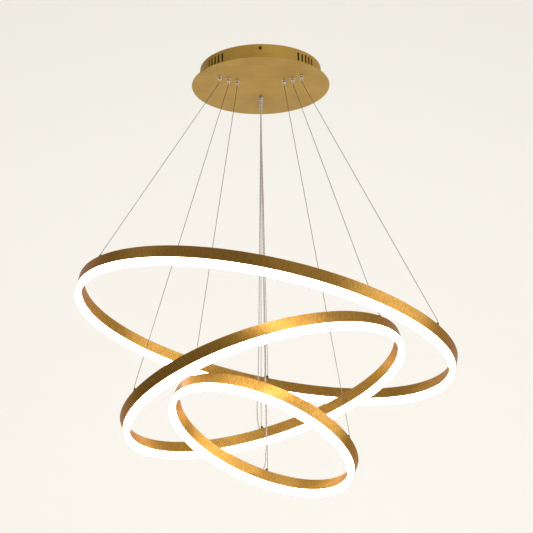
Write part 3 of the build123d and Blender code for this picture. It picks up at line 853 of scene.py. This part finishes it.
def brushed_gold(ring, radius, place):
    """Gold anodised aluminium, its brush strokes running over the band whatever way the ring is tilted."""
    material, tree = empty_finish(f"brushed_gold_anodised_aluminium_{ring}")
    seat = add(tree, "ShaderNodeTexCoord")
    level = add(
        tree,
        "ShaderNodeMapping",
        {
            "Vector": seat.outputs["Object"],
            "Location": place.to_translation(),
            "Rotation": place.to_euler(),
        },
        vector_type="TEXTURE",
    )
    parts = add(tree, "ShaderNodeSeparateXYZ", {0: level.outputs[0]})
    angle = add(tree, "ShaderNodeMath", {0: parts.outputs[1], 1: parts.outputs[0]}, operation="ARCTAN2")
    arc = add(tree, "ShaderNodeMath", {0: angle.outputs[0], 1: radius}, operation="MULTIPLY")
    # Hand-brushed strokes 0.3 mm wide and 10 mm long lean both ways; drawn 1.6 mm wide so that they show. The
    # clear oxide film on the metal gives the highlights a paler sheen.
    strokes = []
    for lean in (35, -48):
        skew = add(tree, "ShaderNodeCombineXYZ", {0: arc.outputs[0], 1: parts.outputs[2]})
        slanted = add(
            tree,
            "ShaderNodeMapping",
            {"Vector": skew.outputs[0], "Rotation": (0, 0, math.radians(lean)), "Scale": (620.0, 95.0, 1.0)},
        )
        strokes.append(add(tree, "ShaderNodeTexNoise", {"Vector": slanted.outputs[0], "Scale": 1.0, "Detail": 3.0}))
    both = add(
        tree, "ShaderNodeMath", {0: strokes[0].outputs["Fac"], 1: strokes[1].outputs["Fac"]}, operation="ADD"
    )
    scratch = add(tree, "ShaderNodeMapRange", {0: both.outputs[0], 1: 0.72, 2: 1.28})
    gold = add(
        tree,
        "ShaderNodeMix",
        {0: scratch.outputs[0], 6: linear("#B38025"), 7: linear("#DFAB55")},
        data_type="RGBA",
    )
    gloss = add(tree, "ShaderNodeMapRange", {0: scratch.outputs[0], 3: 0.43, 4: 0.35})
    lift = add(tree, "ShaderNodeBump", {"Height": scratch.outputs[0], "Strength": 0.05, "Distance": 0.0002})
    metal = add(
        tree,
        "ShaderNodeBsdfPrincipled",
        {
            "Base Color": gold.outputs[2],
            "Metallic": 1.0,
            "Specular Tint": linear("#9C7A3C"),
            "Roughness": gloss.outputs[0],
            "Normal": lift.outputs[0],
            "Coat Weight": 0.45,
            "Coat Roughness": 0.32,
        },
    )
    add(tree, "ShaderNodeOutputMaterial", {"Surface": metal.outputs[0]})
    return material


for ring, radius in ring_radius.items():
    inner = radius - ring_width
    channel = spun(
        f"channel_{ring}",
        rounded(
            [
                (inner, 0.0, 0.0005),
                (radius, 0.0, 0.0005),
                (radius, -channel_height, 0.0003),
                (radius - channel_wall, -channel_height, 0.0),
                (radius - channel_wall, -web_depth, 0.0),
                (inner + channel_wall, -web_depth, 0.0),
                (inner + channel_wall, -channel_height, 0.0),
                (inner, -channel_height, 0.0003),
            ]
        ),
        ring_steps,
        brushed_gold(ring, radius, ring_frames[ring]),
    )
    channel.data.transform(ring_frames[ring])
    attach(channel, f"ring_{ring}")
    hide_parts(f"ring_{ring}_channel")

# ---- Lamp strips: flexible circuit in short boards under each channel's web, white solder mask over copper.
mask_finish = grained_finish("white_solder_mask", "#E3E1D2", "#F4F2E6", 0.0035, 0.0, (0.4, 0.55), 0.1, IOR=1.5)
for ring in ring_radius:
    nodes[f"ring_{ring}_led_strip"].data.materials.clear()
    nodes[f"ring_{ring}_led_strip"].data.materials.append(mask_finish)

# ---- Diffusers: opal acrylic U-profiles 13.6 mm deep below the channel, extruded, bent round and pushed up
# between its walls. Lit from inside, they are one even, warm white band.
opal_finish, tree = empty_finish("opal_acrylic_lit")
seat = add(tree, "ShaderNodeTexCoord")
haze = add(tree, "ShaderNodeTexNoise", {"Vector": seat.outputs["Object"], "Scale": 40.0, "Detail": 1.0})
glow = add(
    tree,
    "ShaderNodeMix",
    {0: haze.outputs["Fac"], 6: linear("#FFFAF0"), 7: linear("#FFFDF8")},
    data_type="RGBA",
)
acrylic = add(
    tree,
    "ShaderNodeBsdfPrincipled",
    {
        "Base Color": linear("#F4F2EC"),
        "Roughness": 0.3,
        "IOR": 1.49,
        "Emission Color": glow.outputs[2],
        "Emission Strength": 8.0,
    },
)
add(tree, "ShaderNodeOutputMaterial", {"Surface": acrylic.outputs[0]})
opal_gap, opal_wall, opal_top, opal_bottom = 0.0011, 0.0015, -0.0164, -0.0370
for ring, radius in ring_radius.items():
    outer, inner = radius - opal_gap, radius - ring_width + opal_gap
    opal = spun(
        f"opal_profile_{ring}",
        rounded(
            [
                (outer, opal_top, 0.0),
                (outer, opal_bottom, 0.0020),
                (inner, opal_bottom, 0.0020),
                (inner, opal_top, 0.0),
                (inner + opal_wall, opal_top, 0.0),
                (inner + opal_wall, opal_bottom + opal_wall, 0.0008),
                (outer - opal_wall, opal_bottom + opal_wall, 0.0008),
                (outer - opal_wall, opal_top, 0.0),
            ],
            steps=5,
        ),
        ring_steps,
        opal_finish,
    )
    opal.data.transform(ring_frames[ring])
    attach(opal, f"ring_{ring}")
    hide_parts(f"ring_{ring}_diffuser")

# ---- Diffuser screws: six small bronze screws in each ring's inner wall, every 60 degrees, that nip the diffuser.
# They are 2.4 mm wide at the head, with a cross recess, and are seated 20 mm below the ring's top.
grub_z = -0.020
inward = Matrix.Rotation(math.radians(-90), 4, "Y")
for ring, radius in ring_radius.items():
    grub = cross_headed("grub", head=0.0012, height=0.0004, shank=0.0007, reach=0.0010, finish=bronze_finish)
    places = [
        ring_frames[ring] @ about_axis(radius - ring_width, angle, grub_z) @ inward for angle in range(30, 390, 60)
    ]
    grubs = set_out(f"diffuser_screws_{ring}", grub, places, bronze_finish)
    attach(grubs, f"ring_{ring}")

# ---- Wire terminals: three turned ball-stop heads on each ring, screwed into the channel's web, that hold the
# wires' ends. Dark bronze like the side screws.
head_height = 0.0070
for ring in ring_radius:
    head = spun(
        "head",
        rounded(
            [
                (0.0, -0.0016, 0.0), (0.0015, -0.0016, 0.0002), (0.0015, 0.0, 0.0), (0.0028, 0.0, 0.0003),
                (0.0028, 0.0048, 0.0012), (0.0014, head_height, 0.0006), (0.0007, head_height, 0.0001),
                (0.0, 0.0060, 0.0),
            ],
            guard=0.00004,
        ),
        32,
        bronze_finish,
    )
    upright = ring_frames[ring].to_3x3().to_4x4()
    sunk = head_height * upright.col[2].to_3d()
    wire_ends = [Vector(rope_routes[ring, side][-1]) for side in wire_angle]
    places = [Matrix.Translation(end - sunk) @ upright for end in wire_ends]
    heads = set_out(f"terminal_heads_{ring}", head, places, bronze_finish)
    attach(heads, f"ring_{ring}")
    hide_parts(f"ring_{ring}_wire_ends")

# ---- Cord inlets: a smoke-grey nylon bush beside each ring's rear terminal, where the power cord goes in. Its
# bore flares upwards, which leaves the cord room to lean as the ring is raised.
cord_end_depth = 0.0014
for ring in ring_radius:
    bush = spun(
        "bush",
        rounded(
            [
                (0.00145, -0.0016, 0.0), (0.0019, -0.0016, 0.0001), (0.0019, 0.0, 0.0), (0.0026, 0.0, 0.0001),
                (0.0026, 0.0015, 0.0003), (0.0021, 0.0015, 0.0001),
            ],
            guard=0.00004,
        ),
        32,
        gland_finish,
    )
    upright = ring_frames[ring].to_3x3().to_4x4()
    end = Vector(cord_routes[ring][-1]) + cord_end_depth * upright.col[2].to_3d()
    inlet = set_out(f"inlet_bush_{ring}", bush, [Matrix.Translation(end) @ upright], gland_finish)
    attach(inlet, f"ring_{ring}")
    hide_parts(f"ring_{ring}_cord_inlet")
